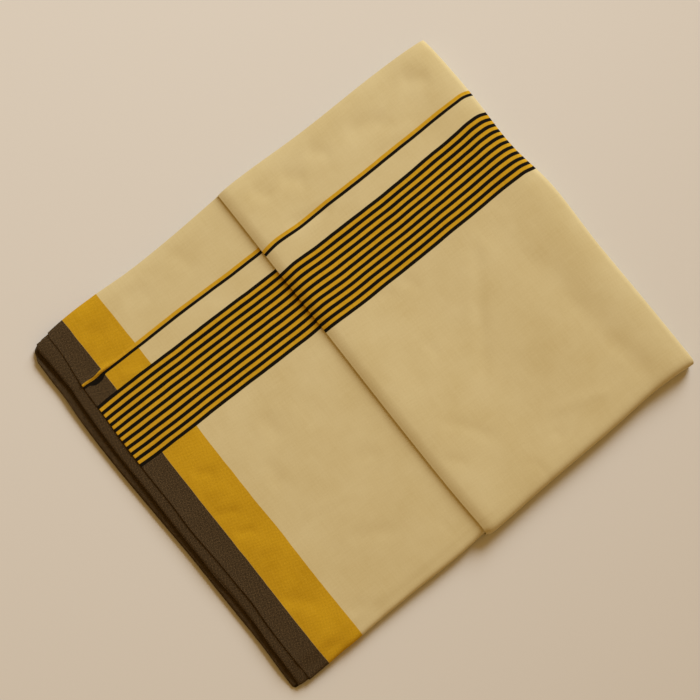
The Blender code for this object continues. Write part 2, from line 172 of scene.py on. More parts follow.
# Creases, as soft troughs, or ridges where the depth is below 0. soft is half of the width.
CREASES = table(
    "x0 y0 x1 y1 soft depth",
    # on the flap: the long trough inside its right edge
    (134, 30, 150, -31, 10.0, 0.50), (146, -12, 155, -78, 13.0, 0.50),
    (153, -60, 161, -121, 12.0, 0.55), (159, -104, 166, -149, 8.0, 0.45),
    # the broad hollow left of its middle, which the pressing left
    (58, 60, 74, -165, 38.0, 1.5),
    # the crease down its middle, and short ones round it
    (125, 19, 89, -33, 5.6, 0.45), (98, -20, 62, -72, 5.4, 0.42),
    (17, -77, 44, -117, 5.0, 0.38), (1, -101, 13, -117, 5.0, 0.32), (61, 30, 68, 10, 4.0, 0.29),
    (45, -19, 47, -38, 4.0, 0.29), (29, 30, 51, 23, 5.0, 0.35), (79, -134, 84, -147, 4.0, 0.26),
    (53, -143, 58, -166, 3.5, 0.26), (83, -122, 141, -142, 5.0, -0.35),
    # the dimples along the back
    (157, 154, 177, 141, 8.0, 0.80), (97, 146, 133, 136, 8.0, 0.83), (63, 154, 79, 140, 6.0, 0.54),
    (35, 149, 51, 135, 7.0, 0.74), (10, 155, 22, 141, 6.0, 0.54), (114, 123, 145, 119, 6.0, -0.32),
    # the puckers at the thin line
    (17, 112, 52, 107, 5.5, 0.75), (48, 96, 71, 89, 6.0, 0.25),
    # on the panel to the left of it
    (-70, 159, -59, 128, 7.0, 0.42), (-118, 146, -98, 141, 7.0, 0.38), (-89, 11, -89, -14, 6.0, 0.42),
    (-106, -20, -111, -43, 6.0, 0.45), (-58, 7, -57, -23, 6.0, 0.29), (-60, -58, -34, -68, 5.0, 0.22),
    (-93, -107, -58, -124, 6.0, 0.42), (-129, -148, -102, -162, 6.0, 0.38),
    (-32, -133, -26, -164, 1.5, 0.22), (-114, -72, -64, -82, 2.4, -0.19),
    # on the gold border
    (-159, 146, -145, 132, 6.5, 0.60), (-157, 100, -140, 94, 5.0, -0.54),
    (-158, 5, -143, -4, 4.5, 0.76), (-160, -12, -142, -20, 4.0, -0.43),
    (-164, -31, -145, -38, 3.2, 0.83), (-160, -51, -144, -58, 3.4, 0.76),
    (-156, -78, -140, -81, 3.4, 0.43), (-162, -111, -141, -132, 5.5, 0.76),
    (-161, -159, -141, -170, 5.0, 0.54),
)
# Similar ones on the underside
CREASES_BELOW = table(
    "x0 y0 x1 y1 soft depth",
    (120, 60, 84, -20, 4.0, 0.18), (40, -60, 92, -128, 5.0, 0.2), (160, 110, 172, 20, 7.0, 0.22),
    (-60, 90, -96, 20, 4.0, 0.16), (-150, 60, -138, 30, 5.0, 0.2), (-120, -70, -66, -110, 4.5, 0.18),
)


def smooth(t):
    """A soft rise from 0 to 1."""
    t = np.clip(t, 0.0, 1.0)
    return t * t * (3 - 2 * t)


def fall(past_edge, length):
    """From 0 that far inside an edge to 1 at the edge, more and more steeply."""
    return np.clip(past_edge / length + 1, 0, PAST_EDGE) ** 2


def follow(edge, at, column=1):
    """The edge's place there, on a smooth curve through the rows of its table."""
    values = list(edge.values())
    place, value = values[0], values[column]
    slope = np.gradient(value, place)
    at = np.clip(at, place[0], place[-1])
    row = np.clip(np.searchsorted(place, at) - 1, 0, len(place) - 2)
    gap = place[row + 1] - place[row]
    t = (at - place[row]) / gap
    start = (1 + 2 * t) * (1 - t) ** 2 * value[row] + t * (1 - t) ** 2 * gap * slope[row]
    end = t * t * (3 - 2 * t) * value[row + 1] + t * t * (t - 1) * gap * slope[row + 1]
    return start + end


def corner(distance, radius):
    """How far a rounded corner draws an edge back, that far along it from the corner."""
    beside = radius - np.clip(distance, radius * (1 - math.sqrt(0.5)), radius)
    return radius - np.sqrt(radius**2 - beside**2)


def ripple(seed, at, size, length):
    """A slow, uneven wave along an edge."""
    draw = np.random.default_rng(seed)
    wave = 0.0 * at
    waves = 3
    for _ in range(waves):
        spacing = length * (0.5 + draw.random())
        wave = wave + np.sin(2 * math.pi * (at / spacing + draw.random()))
    return size * wave / waves


def rolling(x, y, spacing, seed):
    """Soft, uneven ups and downs between -1 and 1, about that far apart."""
    cells, outside = 95, 250  # the cells start outside the cloth
    grid = np.random.default_rng(seed).uniform(-1, 1, (cells + 1, cells + 1))
    i, j = (x + outside) / spacing, (y + outside) / spacing
    i0, j0 = np.floor(i).astype(int), np.floor(j).astype(int)
    s, t = smooth(i - i0), smooth(j - j0)
    i0, j0 = i0 % cells, j0 % cells
    low = grid[i0, j0] * (1 - s) + grid[i0 + 1, j0] * s
    high = grid[i0, j0 + 1] * (1 - s) + grid[i0 + 1, j0 + 1] * s
    return low * (1 - t) + high * t


CREASE_BOW = 0.04  # of its length
CREASE_ENDS, CREASE_START = 2.5, 0.3  # how fast it fades, and how much of it there is at its very end


def creased(creases, x, y):
    """How far the creases lower the cloth there."""
    total = 0.0 * x
    for x0, y0, x1, y1, soft, depth in zip(*creases.values()):
        length = math.hypot(x1 - x0, y1 - y0)
        along = ((x - x0) * (x1 - x0) + (y - y0) * (y1 - y0)) / length**2
        aside = ((x - x0) * (y1 - y0) - (y - y0) * (x1 - x0)) / length
        # the trough bows a little to one side and fades towards its ends
        aside = aside + CREASE_BOW * length * np.sin(math.pi * np.clip(along, 0, 1))
        fade = smooth(along * CREASE_ENDS + CREASE_START) * smooth((1 - along) * CREASE_ENDS + CREASE_START)
        total = total + depth * fade * np.exp(-((aside / soft) ** 2))
    return total


# The form of the stack

def step_rise(inside):
    """How far the stack has risen, that far inside the flap's left edge."""
    gentle = (FLAP_HEIGHT - LEFT_HEIGHT - EDGE_RISE - UNDER_RISE) * smooth(inside / GENTLE_LENGTH + 1)
    at_edge = EDGE_RISE * np.exp(np.minimum(inside, 0) / EDGE_LENGTH)
    under = UNDER_RISE * (1 - np.exp(-np.maximum(inside, 0) / UNDER_RISE_LENGTH))
    return gentle + at_edge + under


def stack_top(x, y):
    """The height of the panels that lie under the flap, or of the top panel where there is no flap."""
    past_right = x - follow(RIGHT_EDGE, y)
    past_back = y - follow(BACK_EDGE, x)
    front_fall = FRONT_FALL + CORNER_FALL * smooth((CORNER_FALL_START - x) / CORNER_FALL_LENGTH)
    return (
        LEFT_HEIGHT
        + step_rise(x - follow(FLAP_EDGE, y))
        - SELVEDGE_FALL * smooth((SELVEDGE_FALL_START - x) / SELVEDGE_FALL_LENGTH)
        - BACK_FALL * fall(past_back, BACK_FALL_LENGTH)
        - front_fall * smooth((FRONT_FALL_START - y) / FRONT_FALL_LENGTH)
        + RIGHT_SWELL * smooth((past_right + RIGHT_SWELL_START) / RIGHT_SWELL_LENGTH)
        - RIGHT_FALL * fall(past_right, RIGHT_FALL_LENGTH)
        - RIGHT_ROUNDING * fall(past_right, RIGHT_ROUNDING_LENGTH)
    )


def stack_bottom(x, y):
    """The underside of the same panels: on the floor, or on the flap's lower half."""
    return FLAP_COVER * smooth((x - follow(FLAP_EDGE, y) + UNDER_STEP) / UNDER_STEP_LENGTH)


def thinned(x, y):
    """How much thinner the flap is there than in its middle."""
    return THIN_EDGE * np.exp(-np.maximum(x - follow(FLAP_EDGE, y), 0) / UNDER_RISE_LENGTH)


def flap_top(x, y):
    """The flap's upper side, with the small lip that its edge has been pressed into."""
    lip = LIP * np.exp(-((np.maximum(x - follow(FLAP_EDGE, y), 0) / LIP_WIDTH) ** 2))
    return stack_top(x, y) + FLAP_COVER - thinned(x, y) - FLAP_PRESSED + lip


def floor_level(x, y):
    """The flap's underside, which rests flat."""
    return 0.0 * x


def lifted(x, y):
    """1 where the flap itself lies on the inside panels, past the end of the cloth under it."""
    return smooth((x - follow(FLAP_EDGE, y) - INNER_LIFT_START) / INNER_LIFT_LENGTH)


def inner_top(x, y):
    """The upper side of the uppermost inside panel."""
    taken_up = (FLAP_COVER - FLAP_SHEET + PANEL_SHEET) * lifted(x, y)
    return stack_top(x, y) - PANEL_SHEET - AIR + taken_up


def inner_bottom(x, y):
    """The underside of the lowest inside panel."""
    outside = smooth((x - follow(BOTTOM_SELVEDGE, y) + BOTTOM_STEP) / BOTTOM_STEP_LENGTH)
    taken_up = (FLAP_COVER - FLAP_SHEET + PANEL_SHEET) * lifted(x, y)
    return stack_bottom(x, y) + PANEL_SHEET * outside + AIR - taken_up


def panel_room(x, y):
    """The height that each inside panel has."""
    return (inner_top(x, y) - inner_bottom(x, y)) / (PANELS - 2)


def inside_level(panel, x, y):
    """The middle height of an inside panel, counted from 1 to 14, or between two for single layers."""
    return inner_top(x, y) - (panel - 0.5) * panel_room(x, y)


def flap_front(x):
    """The flap's front edge, with its rounded corner."""
    from_edge = x - follow(FLAP_EDGE, FRONT)
    rounding = FLAP_CORNER * (1 - smooth(from_edge / FLAP_CORNER_LENGTH))
    return follow(FLAP_FRONT_EDGE, x) + rounding


def stack_front(x):
    """The panels' front edge, which runs on inside the flap's bend."""
    under_flap = smooth((x - FLAP_LEFT_START) / FLAP_LEFT_LENGTH)
    inside_flap = flap_front(x) + FLAP_COVER + UNDER_FLAP
    return (1 - under_flap) * follow(LEFT_FRONT_EDGE, x) + under_flap * inside_flap


def blunt(value):
    """A sine or cosine on the squarer curve of a front bend."""
    return np.sign(value) * np.abs(value) ** BLUNT


def bend_start(x):
    """Where the panels end and the front bends begin, for all of them alike."""
    high = (stack_top(x, FRONT) - stack_bottom(x, FRONT)) / 2
    return stack_front(x) + high + BEND_REACH


# Folding the strip. A place on it is: which panel, how far along it, and how far round a bend.

# The folds at the back are nested in groups, here by their outermost panels.
UPPER_FOLD, NEXT_FOLD, LOWER_FOLD = (2, 3), (4, 7), (MIDDLE, LOWEST)
BACK_GROUPS = {2: UPPER_FOLD, 3: UPPER_FOLD, 4: NEXT_FOLD, 5: NEXT_FOLD, 6: NEXT_FOLD, 7: NEXT_FOLD}
BACK_REACH = {UPPER_FOLD: 0.6, NEXT_FOLD: 1.2, LOWER_FOLD: 1.2}  # how far each stays inside the back edge
BACK_CORNER = {UPPER_FOLD: 6.5, NEXT_FOLD: 7.0, LOWER_FOLD: 9.5}
BACK_CORNER_PLACE = 1.0  # past the panels' even length, as is the next place
TOP_CORNER, TOP_CORNER_PLACE = 4.5, 0.4
LOOSE_END_ON_TOP, LOOSE_END_INSIDE = 0.4, 1.7  # how far the two loose ends stay inside the back edge


class Strip:
    """One stretch of cloth on its way through the folds, given by its surfaces' heights in each panel."""

    def __init__(self, level, front, rounded=False):
        self.level = level
        self.front = front
        self.rounded = rounded

    def back_start(self, panel, x):
        """Where the panel's flat part ends at the back, so that nested bends share one middle."""
        first, last = BACK_GROUPS.get(panel, LOWER_FOLD)
        y = follow(BACK_EDGE, x)
        half = abs(self.level(first, x, y) - self.level(last, x, y)) / 2 + BACK_ROOM
        drawn_in = BACK_REACH[(first, last)]
        if self.rounded:
            drawn_in = drawn_in + corner(x - bundle_side(first, BACK), BACK_CORNER[(first, last)])
        return y - drawn_in - half * BACK_BEND

    def flat(self, panel, share, columns, end=None):
        """A row of points across a panel: share runs from 0 at the front bend to 1 at the back."""
        nominal = FRONT + share * (BACK - FRONT)
        x = columns(panel, nominal)
        stop = self.back_start(panel, x) if end is None else follow(BACK_EDGE, x) - end
        start = self.front(x)
        y = start + share * (stop - start)
        return x, y, self.level(panel, x, y)

    def bend(self, panel, other, turn, columns, at_front):
        """A row of points across a bend from one panel to another. turn runs from 0 to 1."""
        share = smooth(turn)
        nominal = FRONT if at_front else BACK
        x = (1 - share) * columns(panel, nominal) + share * columns(other, nominal)
        y = self.front(x) if at_front else self.back_start(panel, x)
        first, second = self.level(panel, x, y), self.level(other, x, y)
        half = (first - second) / 2
        angle = math.pi * turn
        if at_front:
            reach = np.abs(half) + BEND_REACH * np.abs(half) / (LEFT_HEIGHT / 2)
            y = y - reach * blunt(math.sin(angle))
            return x, y, (first + second) / 2 + half * blunt(math.cos(angle))
        y = y + BACK_BEND * np.abs(half) * math.sin(angle)
        return x, y, (first + second) / 2 + half * math.cos(angle)


# Meshes

def around(across, along):
    """The places of a grid's border points, in order."""
    front = [(i, 0) for i in range(across - 1)]
    right = [(across - 1, j) for j in range(along - 1)]
    rear = [(i, along - 1) for i in range(across - 1, 0, -1)]
    left = [(0, j) for j in range(along - 1, 0, -1)]
    return np.array(front + right + rear + left).T


def unit(vectors):
    """Each vector at length 1."""
    return vectors / np.maximum(np.linalg.norm(vectors, axis=-1, keepdims=True), TINY)


def closed_form(middle, cloth_place, side, rim_out, rim_steps):
    """Closes a form round its middle grid: side reaches its upper face, and rim_out its rounded rim.

    It returns points, faces and the place on the cloth for each point.
    """
    across, along = middle.shape[:2]
    i, j = around(across, along)
    rims = []
    for angle in np.linspace(0, math.pi, rim_steps + 2)[1:-1]:
        rims.append(middle[i, j] + rim_out * math.sin(angle) + side[i, j] * math.cos(angle))
    points = np.concatenate([(middle + side).reshape(-1, 3), (middle - side).reshape(-1, 3), *rims])
    places = np.concatenate([cloth_place.reshape(-1, 2)] * 2 + [cloth_place[i, j]] * rim_steps)
    count = across * along
    border = i * along + j
    loops = [border]
    for k in range(rim_steps):
        loops.append(2 * count + k * len(border) + np.arange(len(border)))
    loops.append(border + count)
    a = (np.arange(across - 1)[:, None] * along + np.arange(along - 1)[None]).ravel()
    b = a + along
    faces = [np.column_stack([a, b, b + 1, a + 1]), np.column_stack([a + 1, b + 1, b, a]) + count]
    for above, below in zip(loops, loops[1:]):
        faces.append(np.column_stack([above, below, np.roll(below, -1), np.roll(above, -1)]))
    return points, np.concatenate(faces), places


def cloth_wall(middle, cloth_place, thickness, rim_steps=3):
    """A closed wall of cloth on both sides of its middle surface, with rounded edges."""
    one_way = np.gradient(middle, axis=0)
    other_way = np.gradient(middle, axis=1)
    side = unit(np.cross(one_way, other_way)) * (np.asarray(thickness) / 2)[..., None]
    outward = np.zeros_like(middle)
    outward[0] += middle[0] - middle[1]
    outward[-1] += middle[-1] - middle[-2]
    # at the corners the two directions count about alike
    outward[:, 0] += unit(middle[:, 0] - middle[:, 1]) * np.linalg.norm(outward[:, :1], axis=-1).clip(1)
    outward[:, -1] += unit(middle[:, -1] - middle[:, -2]) * np.linalg.norm(outward[:, -1:], axis=-1).clip(1)
    i, j = around(*middle.shape[:2])
    rim_out = unit(outward[i, j]) * np.linalg.norm(side[i, j], axis=-1, keepdims=True)
    return closed_form(middle, cloth_place, side, rim_out, rim_steps)


def rounded_solid(middle, cloth_place, height, rim=2.0, rim_steps=5):
    """A closed solid of that height about its middle surface, with its sides rounded by a fixed depth."""
    side = np.zeros_like(middle)
    side[..., 2] = height / 2
    outward = np.zeros_like(middle)
    outward[0, :, 0] -= 1
    outward[-1, :, 0] += 1
    outward[:, 0, 1] -= 1
    outward[:, -1, 1] += 1
    i, j = around(*middle.shape[:2])
    return closed_form(middle, cloth_place, side, unit(outward[i, j]) * rim, rim_steps)


def make_piece(name, parts, material):
    """One mesh from several closed parts, with the place on the cloth as its texture map, in metres."""
    mesh = bpy.data.meshes.new(name)
    shift = np.cumsum([0] + [len(points) for points, _, _ in parts])
    points = np.concatenate([p for p, _, _ in parts]) * MM
    faces = np.concatenate([f + s for (_, f, _), s in zip(parts, shift)])
    places = np.concatenate([c for _, _, c in parts]) * MM
    mesh.from_pydata(points.tolist(), [], faces.tolist())
    layer = mesh.uv_layers.new(name="cloth")
    layer.data.foreach_set("uv", places[faces.ravel()].ravel())
    mesh.materials.append(material)
    mesh.shade_smooth()
    mesh.validate()
    piece = bpy.data.objects.new(name, mesh)
    bpy.context.scene.collection.objects.link(piece)
    return piece


def grid_of(rows):
    """Rows of points as one grid: across, along, and x, y, z."""
    return np.array([np.array(row) for row in rows]).transpose(2, 0, 1)


def run_along(grid):
    """The length of cloth from the first row to each row."""
    step = np.linalg.norm(np.diff(grid, axis=1), axis=2)
    return np.concatenate([np.zeros((grid.shape[0], 1)), np.cumsum(step, axis=1)], axis=1)


def band_place(band, x, y):
    """Where y is on the cloth, from the band's first line, as the band lies across the folded cloth."""
    first, last, thin = (follow(band, x, column) for column in (1, 2, 3))
    inside = (LINES - 1) * LINE_PITCH
    up_to_last = (y - first) * inside / (last - first)
    past_last = inside + (y - last) * (THIN_LINE - inside) / (thin - last)
    place = np.where(y < first, y - first, np.where(y < last, up_to_last, past_last))
    return np.where(y > thin, THIN_LINE + y - thin, place)


# Materials

def linear(code):
    """A colour in linear light from its sRGB hex code."""
    parts = [int(code[k : k + 2], 16) / 255 for k in (1, 3, 5)]
    return [p / 12.92 if p <= 0.04045 else ((p + 0.055) / 1.055) ** 2.4 for p in parts]


def add(tree, kind, inputs, out=0, **settings):
    """Adds a node with its settings and its links or values, and gives one of its outputs."""
    new = tree.nodes.new("ShaderNode" + kind)
    for name, value in settings.items():
        setattr(new, name, value)
    for key, value in inputs.items() if isinstance(inputs, dict) else enumerate(inputs):
        if isinstance(value, bpy.types.NodeSocket):
            tree.links.new(value, new.inputs[key])
        elif isinstance(value, str):
            new.inputs[key].default_value = (*linear(value), 1)
        else:
            new.inputs[key].default_value = value
    return new.outputs[out]


# Undyed cotton yarn, hand woven in plain weave and pressed by folding: matt, with uneven threads.
# The golden-yellow, grey and black stretches are the same cloth in dyed yarn, which shows its weave more.
CREAM, CREAM_SHADE, CREAM_LIGHT = "#cbbd91", "#c4b485", "#d6ca9e"
GOLD, GOLD_SHADE, GOLD_LIGHT = "#c1981a", "#b28914", "#cfa52c"
LINE_GOLD, LINE_GOLD_LIGHT = "#bc9016", "#cfa62e"
GREY, GREY_FLECK = "#322819", "#625037"
BLACK = "#120e08"
THREADS = 1.5  # the real threads are 0.35 mm apart, too fine to show, so they are drawn this far apart
SLUB_LENGTH, SLUB_WIDTH = 22.0, 1.4
# Threads wander: slowly over some 30 mm, and quickly over about 1 mm, both across and along the cloth.
DRIFT, DRIFT_SCALE = (1.4, 1.0, 0), 0.035
JITTER, JITTER_SCALE = (0.14, 0.05, 0), 0.9
PATCH_SCALE, GRAIN_SCALE = 0.022, 1.25  # in each millimetre
EDGE_SOFTNESS = 0.22
FAR = 900.0  # past every end of the pattern
# How strongly the weave shows, on undyed and on dyed yarn, and what is left of that in the band
UNDYED_WEAVE, DYED_WEAVE, BAND_WEAVE = 0.4, 1.8, 0.5
CREAM_THREADS, GOLD_THREADS, LINE_THREADS = 0.2, 0.25, 0.5  # how much the lighter threads show
# The noise between these two is spread over 0 to 1
PATCH_SPAN, THREAD_SPAN, GRAIN_SPAN = (0.3, 0.7), (0.75, 1.25), (0.25, 0.75)
FLECK_SPAN, FLECK_MOST = (0.25, 0.8), 1.3
WEAVE_SHADE, GRAIN_SHADE = (-0.12, 0.09), (-0.08, 0.08)
WEAVE_RELIEF, THREAD_RELIEF, GRAIN_RELIEF = 0.4, 0.3, 0.5
# Over the grey the thin line bows, and its black widens, partly painted shadow: from, to, and how softly
BOW_PLACE, SHADOW_SPREAD_PLACE = (-12.5, -4.0, 4.0), (-13.0, -1.5, 3.0)
THIN_GOLD_TAPER = 1.1


def between(tree, value, low, high, soft=EDGE_SOFTNESS):
    """1 between two places on the cloth, and 0 elsewhere."""
    softly = {"interpolation_type": "SMOOTHSTEP"}
    entering = add(tree, "MapRange", [value, low - soft, low + soft, 0, 1], **softly)
    leaving = add(tree, "MapRange", [value, high - soft, high + soft, 1, 0], **softly)
    return add(tree, "Math", [entering, leaving], operation="MULTIPLY")


def wandering_place(tree, in_mm):
    """The place on the cloth. Its threads wander a little, so no edge in the pattern is quite straight."""
    moved = in_mm
    for reach, scale, detail in ((DRIFT, DRIFT_SCALE, 2.0), (JITTER, JITTER_SCALE, 1.0)):
        wander = add(tree, "TexNoise", {"Vector": in_mm, "Scale": scale, "Detail": detail}, out="Color")
        wander = add(tree, "VectorMath", [wander, (0.5, 0.5, 0.5)], operation="SUBTRACT")
        wander = add(tree, "VectorMath", [wander, reach], operation="MULTIPLY")
        moved = add(tree, "VectorMath", [moved, wander], operation="ADD")
    return add(tree, "SeparateXYZ", [moved], out=0), add(tree, "SeparateXYZ", [moved], out=1)


def uneven_threads(tree, in_mm):
    """Single threads are a little lighter or darker for a finger's length, in both directions."""
    directions = []
    for size in ((1 / SLUB_WIDTH, 1 / SLUB_LENGTH, 1), (1 / SLUB_LENGTH, 1 / SLUB_WIDTH, 1)):
        stretched = add(tree, "VectorMath", [in_mm, size], operation="MULTIPLY")
        directions.append(add(tree, "TexNoise", {"Vector": stretched, "Scale": 1.0, "Detail": 2.0}))
    threads = add(tree, "Math", directions, operation="ADD")
    return add(tree, "MapRange", [threads, *THREAD_SPAN, 0, 1])


def plain_weave(tree, u, v):
    """The over and under of the weave."""
    waves = []
    for place in (u, v):
        turn = add(tree, "Math", [place, 2 * math.pi / THREADS], operation="MULTIPLY")
        waves.append(add(tree, "Math", [turn], operation="SINE"))
    weave = add(tree, "Math", waves, operation="MULTIPLY")
    return add(tree, "MapRange", [weave, -1, 1, 0, 1])


def thin_line(tree, u, v):
    """Where the single thin line is black, with painted shadow beside its tail, and where it is gold."""
    bow = add(tree, "Math", [between(tree, u, *BOW_PLACE), TAIL_BOW], operation="MULTIPLY")
    v = add(tree, "Math", [v, bow], operation="ADD")
    # painted shadow: the black widens over the grey in front of the raised gold tail, partly its black
    # threads
    spread = add(tree, "Math", [between(tree, u, *SHADOW_SPREAD_PLACE), BLACK_SPREAD_WITH_PAINTED_SHADOW], operation="MULTIPLY")
    spread = add(tree, "Math", [v, spread], operation="ADD")
    black_start, black_end = THIN_LINE - THIN_BLACK_WIDTH / 2, THIN_LINE + THIN_BLACK_WIDTH / 2
    past_start = between(tree, spread, black_start, FAR)
    black = add(tree, "Math", [past_start, between(tree, v, -FAR, black_end)], operation="MULTIPLY")
    gold_end = black_end + THIN_GOLD_WIDTH
    gold_end = add(tree, "MapRange", [u, -GREY_WIDTH, GOLD_WIDTH, gold_end - THIN_GOLD_TAPER, gold_end])
    beyond = add(tree, "Math", [v, gold_end], operation="SUBTRACT")
    past_black = between(tree, v, black_end, FAR)
    gold = add(tree, "Math", [past_black, between(tree, beyond, -FAR, 0)], operation="MULTIPLY")
    return black, gold


def handloom_cotton(name):
    """Plain-weave handloom cotton, coloured by its place on the cloth, as its dyed yarns are."""
    material = bpy.data.materials.new(name)
    material.use_nodes = True
    tree = material.node_tree
    tree.nodes.clear()
    place = add(tree, "UVMap", {}, uv_map="cloth")
    in_mm = add(tree, "VectorMath", [place, (1 / MM, 1 / MM, 1 / MM)], operation="MULTIPLY")
    u, v = wandering_place(tree, in_mm)
    # broad, faint differences between the dye lots and from handling
    patches = add(tree, "TexNoise", {"Vector": in_mm, "Scale": PATCH_SCALE, "Detail": 3.0, "Roughness": 0.55})
    patches = add(tree, "MapRange", [patches, *PATCH_SPAN, 0, 1])
    threads = uneven_threads(tree, in_mm)
    weave = plain_weave(tree, u, v)
    # the yarn is thicker and thinner from one crossing to the next
    grain = add(tree, "TexNoise", {"Vector": in_mm, "Scale": GRAIN_SCALE, "Detail": 2.0, "Roughness": 0.6})
    grain = add(tree, "MapRange", [grain, *GRAIN_SPAN, 0, 1])

    # the yarns: for each the share of one colour over another
    coloured = {"out": 2, "data_type": "RGBA"}
    cream = add(tree, "Mix", {0: patches, 6: CREAM_SHADE, 7: CREAM}, **coloured)
    share = add(tree, "Math", [threads, CREAM_THREADS], operation="MULTIPLY")
    cream = add(tree, "Mix", {0: share, 6: cream, 7: CREAM_LIGHT}, **coloured)
    gold = add(tree, "Mix", {0: patches, 6: GOLD_SHADE, 7: GOLD}, **coloured)
    share = add(tree, "Math", [threads, GOLD_THREADS], operation="MULTIPLY")
    gold = add(tree, "Mix", {0: share, 6: gold, 7: GOLD_LIGHT}, **coloured)
    share = add(tree, "Math", [threads, LINE_THREADS], operation="MULTIPLY")
    line_gold = add(tree, "Mix", {0: share, 6: LINE_GOLD, 7: LINE_GOLD_LIGHT}, **coloured)
    # the grey is woven of dark and light yarn together, so it is flecked
    fleck = add(tree, "MapRange", [grain, *FLECK_SPAN, 0, FLECK_MOST])
    fleck = add(tree, "Math", [fleck, weave], operation="MULTIPLY")
    grey = add(tree, "Mix", {0: fleck, 6: GREY, 7: GREY_FLECK}, **coloured)

    # the borders, and the band of black lines on gold, which runs across everything
    last_line = (LINES - 1) * LINE_PITCH
    from_line = add(tree, "Math", [v, LINE_PITCH / 2], operation="ADD")
    from_line = add(tree, "Math", [from_line, LINE_PITCH], operation="FLOORED_MODULO")
    lines = between(tree, from_line, LINE_PITCH / 2 - BLACK_WIDTH / 2, LINE_PITCH / 2 + BLACK_WIDTH / 2)
    in_band = between(tree, v, -BLACK_WIDTH / 2, last_line + BLACK_WIDTH / 2)
    band_gold = between(tree, v, -BLACK_WIDTH / 4, last_line + BLACK_WIDTH / 4)
    band_black = add(tree, "Math", [lines, in_band], operation="MULTIPLY")
    thin_black_and_painted_shadow, thin_gold = thin_line(tree, u, v)
    colour = cream
    for where, yarn in (
        (between(tree, u, -FAR, 0), grey), (between(tree, u, 0, GOLD_WIDTH), gold), (band_gold, line_gold),
        (thin_gold, line_gold), (band_black, BLACK), (thin_black_and_painted_shadow, BLACK),
    ):
        colour = add(tree, "Mix", {0: where, 6: colour, 7: yarn}, **coloured)

    # the weave shades the colour a little, darker between the threads
    dyed = add(tree, "Math", [between(tree, u, -FAR, GOLD_WIDTH), in_band], operation="MAXIMUM")
    strength = add(tree, "MapRange", [dyed, 0, 1, UNDYED_WEAVE, DYED_WEAVE])
    band_share = add(tree, "MapRange", [in_band, 0, 1, 1, BAND_WEAVE])
    strength = add(tree, "Math", [strength, band_share], operation="MULTIPLY")
    shade = add(tree, "MapRange", [weave, 0, 1, *WEAVE_SHADE])
    grain_shade = add(tree, "MapRange", [grain, 0, 1, *GRAIN_SHADE])
    shade = add(tree, "Math", [shade, grain_shade], operation="ADD")
    shade = add(tree, "Math", {0: shade, 1: strength, 2: 1.0}, operation="MULTIPLY_ADD")
    colour = add(tree, "VectorMath", {0: colour, "Scale": shade}, operation="SCALE")

    # the relief of the threads
    height = add(tree, "Math", [strength, WEAVE_RELIEF], operation="MULTIPLY")
    height = add(tree, "Math", [weave, height], operation="MULTIPLY")
    height = add(tree, "Math", {0: threads, 1: THREAD_RELIEF, 2: height}, operation="MULTIPLY_ADD")
    height = add(tree, "Math", {0: grain, 1: GRAIN_RELIEF, 2: height}, operation="MULTIPLY_ADD")
    relief = add(tree, "Bump", {"Strength": 0.32, "Distance": 0.00016, "Height": height})
    shader = add(tree, "BsdfPrincipled", {
        "Base Color": colour, "Roughness": 0.92, "Specular IOR Level": 0.08, "Normal": relief,
        "Sheen Weight": 0.03, "Sheen Roughness": 0.45, "Sheen Tint": "#e8d4a6",
    })
    output = tree.nodes.new("ShaderNodeOutputMaterial")
    tree.links.new(shader, output.inputs["Surface"])
    return material


# The outermost cloth

# The rows of points along a panel, closer where the cloth has more form
ROWS = np.unique(np.concatenate([
    np.linspace(0, 1, 128), np.linspace(0.79, 0.87, 40), np.linspace(0, 0.06, 14), np.linspace(0.97, 1, 8),
]))
UNDER_ROWS = np.linspace(0, 1, 60)
INSIDE_ROWS = (1.0, 0.98, 0.96)
RIBBON_ROWS = np.unique(np.concatenate([np.linspace(0, 1, 44), np.linspace(0.95, 1, 7)]))
BEND_TURNS = np.linspace(0, 1, 19)[1:-1]
SMALL_TURNS = np.linspace(0, 1, 9)[1:-1]

# The raised tail of the thin gold line where it crosses the grey border
TAIL_END, TAIL_FADE = -166.0, 16.0
TAIL_SELVEDGE, TAIL_LOW, TAIL_HIGH = -183.0, 1.2, 2.1
TAIL_STEEP, TAIL_GENTLE = 0.7, 2.6  # half widths on its front and its back side
UNEVEN = ((0.15, 34, 5), (0.07, 13, 6), (0.03, 7, 7))  # height, spacing and seed of the faint ups and downs


def tail(x, y):
    """The loose gold threads stand up as a small ridge, steep on its front side."""
    away = y - follow(BAND_ON_PANEL, x, 3) - THIN_BLACK_WIDTH / 2 - THIN_GOLD_WIDTH / 3
    ridge = np.exp(-((away / np.where(away < 0, TAIL_STEEP, TAIL_GENTLE)) ** 2))
    rise = TAIL_LOW + (TAIL_HIGH - TAIL_LOW) * smooth((x - TAIL_SELVEDGE) / (TAIL_END - TAIL_SELVEDGE))
    return rise * ridge * (1 - smooth((x - TAIL_END) / TAIL_FADE))


def top_face(x, y):
    """What lies on the stack's smooth form: the flap's crest, creases, and faint ups and downs."""
    inside = x - follow(FLAP_EDGE, y)
    crest = CREST * smooth(inside / CREST_RISE) * (1 - smooth((inside - CREST_RISE) / CREST_FALL))
    uneven = sum(height * rolling(x, y, spacing, seed) for height, spacing, seed in UNEVEN)
    return crest + uneven - creased(CREASES, x, y)


def cloth_level(top, bottom, thickness, has_tail):
    """The heights of the outermost cloth: on top, on the floor, and inside at the back."""

    def level(panel, x, y):
        if panel == TOP:
            relief = top_face(x, y) + (tail(x, y) if has_tail else 0)
            return top(x, y) - thickness(x, y) / 2 + relief
        if panel == LOWEST:
            return bottom(x, y) + thickness(x, y) / 2 + creased(CREASES_BELOW, x, y)
        return inside_level(panel, x, y)

    return level


